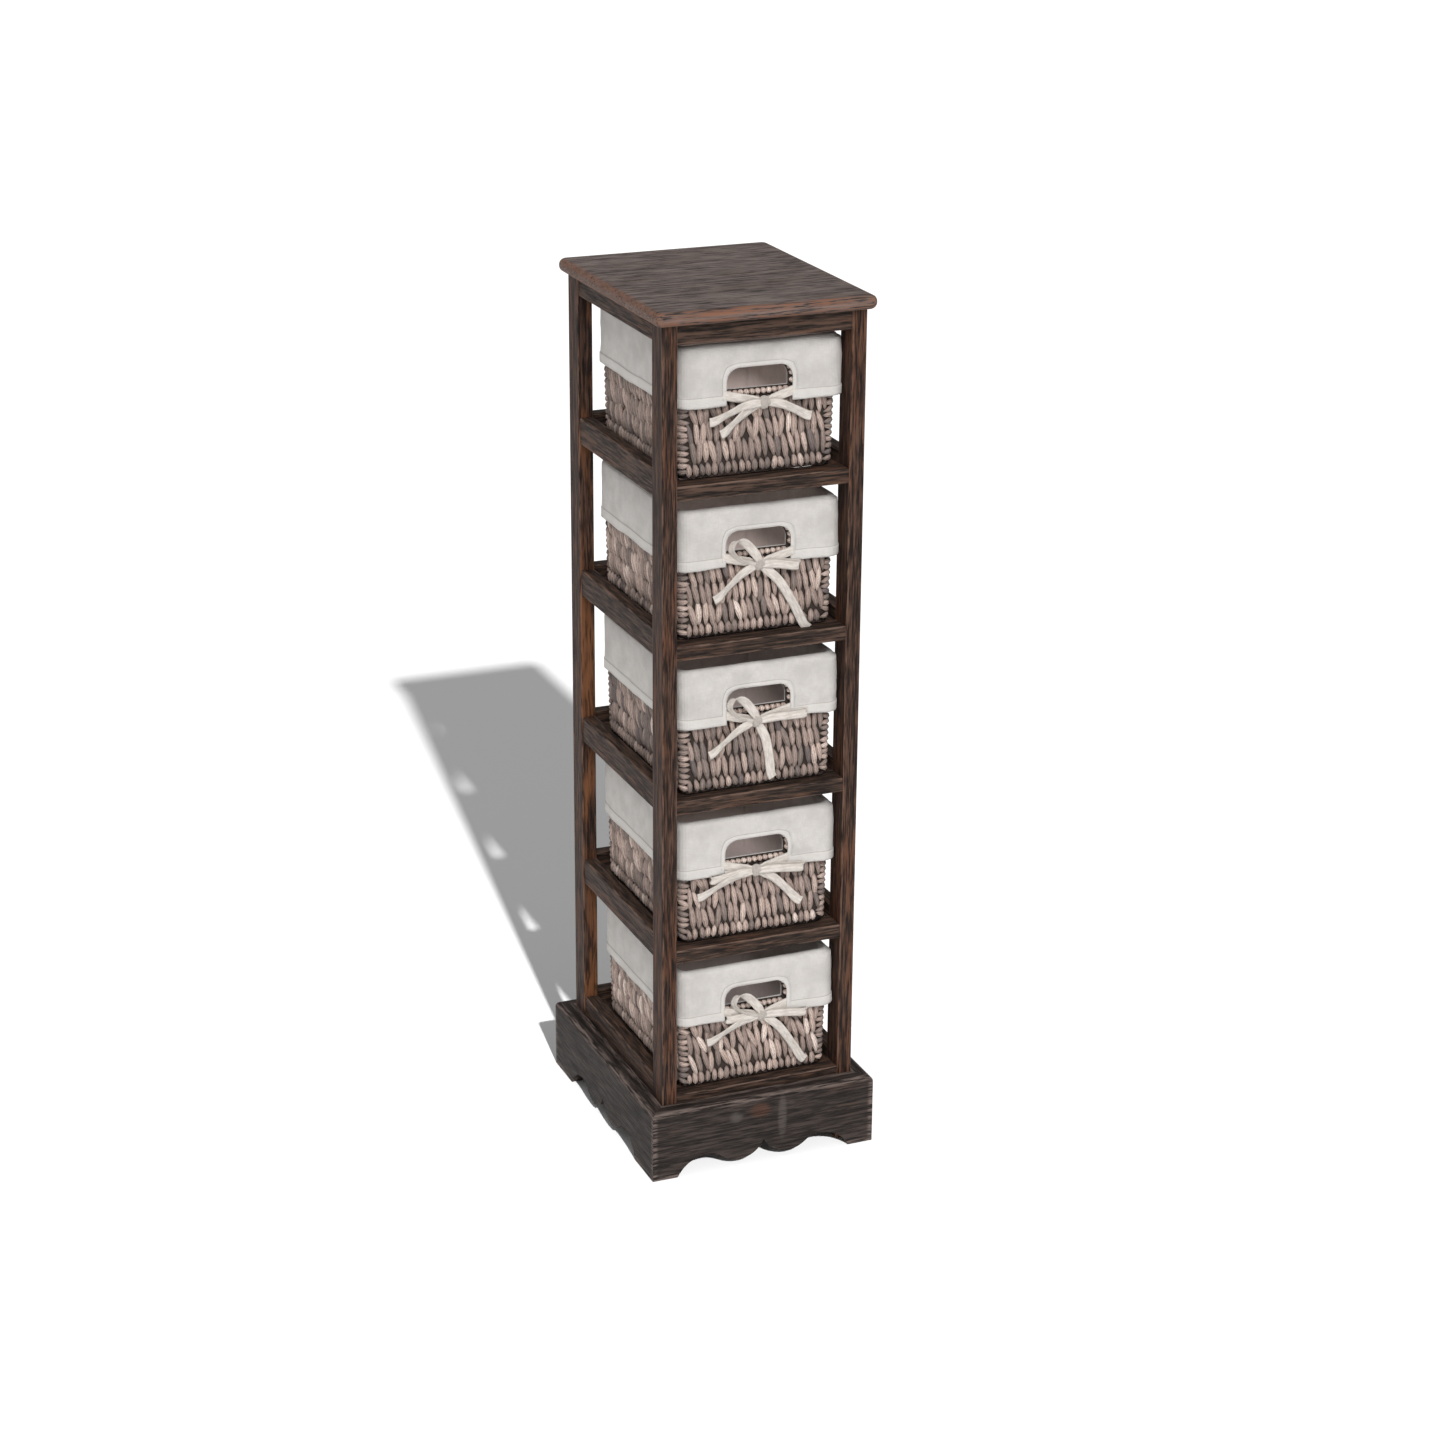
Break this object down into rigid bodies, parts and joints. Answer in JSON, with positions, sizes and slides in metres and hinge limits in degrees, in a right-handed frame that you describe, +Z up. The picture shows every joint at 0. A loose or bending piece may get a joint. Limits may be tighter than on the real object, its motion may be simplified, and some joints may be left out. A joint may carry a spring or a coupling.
{
  "type": "basket shelf",
  "caption": "Narrow free-standing wooden shelf on a scalloped plinth, with lined wicker baskets that pull out at the front, one on each level.",
  "frame": {"origin": "middle of the plinth's footprint, on the floor", "axes": "+Z up, X across the front, -Y towards the user, the way the baskets pull out"},
  "size_m": [0.252, 0.3, 0.92],
  "materials": {
    "dark_wood": "dark brown stain, satin",
    "top_wood": "dark brown stain, rubbed",
    "dowel_wood": "plain beech",
    "wicker": "grey-brown washed strands",
    "iron": "plain rod",
    "cotton": "plain weave, off-white",
    "ribbon": "plain tape, cream"
  },
  "bodies": {
    "carcass": {"top_board": "top_wood", "post_front_left": "dark_wood", "post_front_right": "dark_wood", "post_back_left": "dark_wood", "post_back_right": "dark_wood", "apron_front": "dark_wood", "apron_back": "dark_wood", "apron_left": "dark_wood", "apron_right": "dark_wood", "plinth_front": "dark_wood", "plinth_back": "dark_wood", "plinth_left": "dark_wood", "plinth_right": "dark_wood", "dowels": "dowel_wood", "front_rail_1": "dark_wood", "front_rail_2": "dark_wood", "front_rail_3": "dark_wood", "front_rail_4": "dark_wood", "front_rail_5": "dark_wood", "back_rail_1": "dark_wood", "back_rail_2": "dark_wood", "back_rail_3": "dark_wood", "back_rail_4": "dark_wood", "back_rail_5": "dark_wood", "left_rail_1": "dark_wood", "left_rail_2": "dark_wood", "left_rail_3": "dark_wood", "left_rail_4": "dark_wood", "left_rail_5": "dark_wood", "right_rail_1": "dark_wood", "right_rail_2": "dark_wood", "right_rail_3": "dark_wood", "right_rail_4": "dark_wood", "right_rail_5": "dark_wood", "runners_1": "dark_wood", "runners_2": "dark_wood", "runners_3": "dark_wood", "runners_4": "dark_wood", "runners_5": "dark_wood"},
    "drawer_basket_1": {"basket_1": "wicker", "basket_frame_1": "iron", "lining_1": "cotton", "tie_1": "ribbon"},
    "drawer_basket_2": {"basket_2": "wicker", "basket_frame_2": "iron", "lining_2": "cotton", "tie_2": "ribbon"},
    "drawer_basket_3": {"basket_3": "wicker", "basket_frame_3": "iron", "lining_3": "cotton", "tie_3": "ribbon"},
    "drawer_basket_4": {"basket_4": "wicker", "basket_frame_4": "iron", "lining_4": "cotton", "tie_4": "ribbon"},
    "drawer_basket_5": {"basket_5": "wicker", "basket_frame_5": "iron", "lining_5": "cotton", "tie_5": "ribbon"}
  },
  "joints": [
    {"name": "basket_1_slide", "type": "slide", "parent": "carcass", "child": "drawer_basket_1", "axis": [0, -1, 0], "range_m": [0, 0.26]},
    {"name": "basket_2_slide", "type": "slide", "parent": "carcass", "child": "drawer_basket_2", "axis": [0, -1, 0], "range_m": [0, 0.26]},
    {"name": "basket_3_slide", "type": "slide", "parent": "carcass", "child": "drawer_basket_3", "axis": [0, -1, 0], "range_m": [0, 0.26]},
    {"name": "basket_4_slide", "type": "slide", "parent": "carcass", "child": "drawer_basket_4", "axis": [0, -1, 0], "range_m": [0, 0.26]},
    {"name": "basket_5_slide", "type": "slide", "parent": "carcass", "child": "drawer_basket_5", "axis": [0, -1, 0], "range_m": [0, 0.26]}
  ]
}
